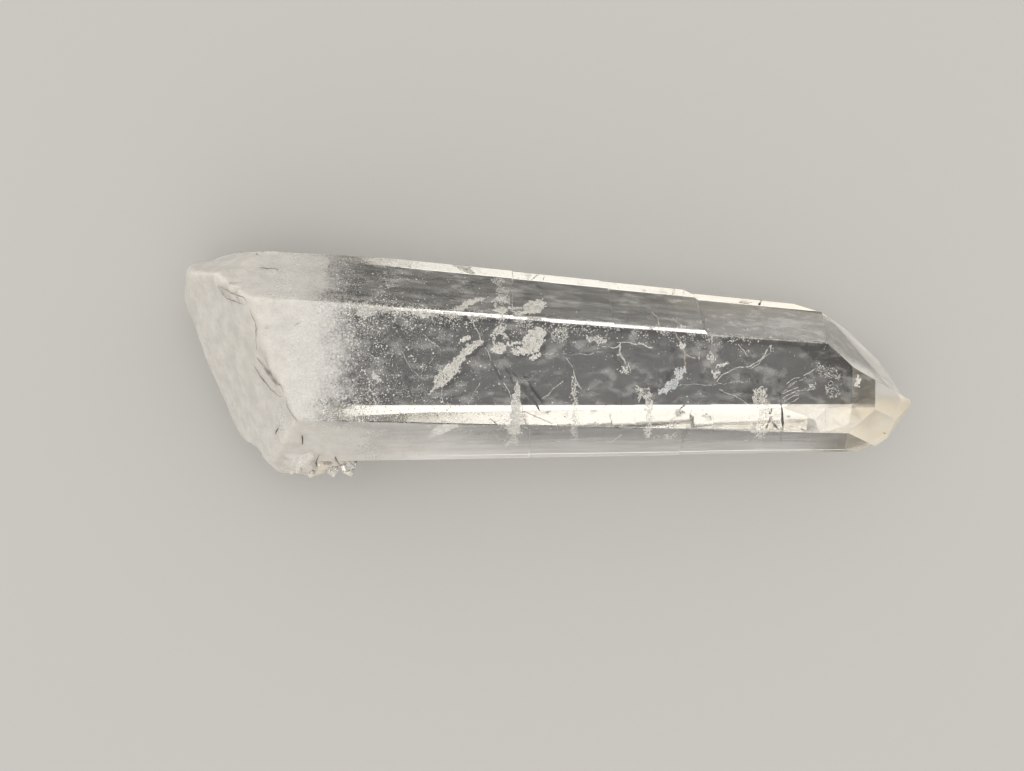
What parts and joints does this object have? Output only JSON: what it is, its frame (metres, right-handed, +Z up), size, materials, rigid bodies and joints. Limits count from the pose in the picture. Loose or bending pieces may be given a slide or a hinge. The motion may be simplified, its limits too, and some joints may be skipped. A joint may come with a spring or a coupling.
{
  "type": "quartz crystal",
  "caption": "Natural clear quartz point: a tapering hexagonal crystal lying on a prism face, with a milky broken base and a crust of small crystals beside it.",
  "frame": {"origin": "middle of the crystal's length and width, at the height of the prism face it rests on", "axes": "+X along the crystal towards its point, +Z up from the face it rests on"},
  "size_m": [0.1112, 0.0344, 0.0275],
  "materials": {
    "quartz": "natural glassy crystal faces, clear towards the point; milky, waxy and rough at the broken base"
  },
  "bodies": {
    "root": {"crystal": "quartz"}
  },
  "joints": []
}
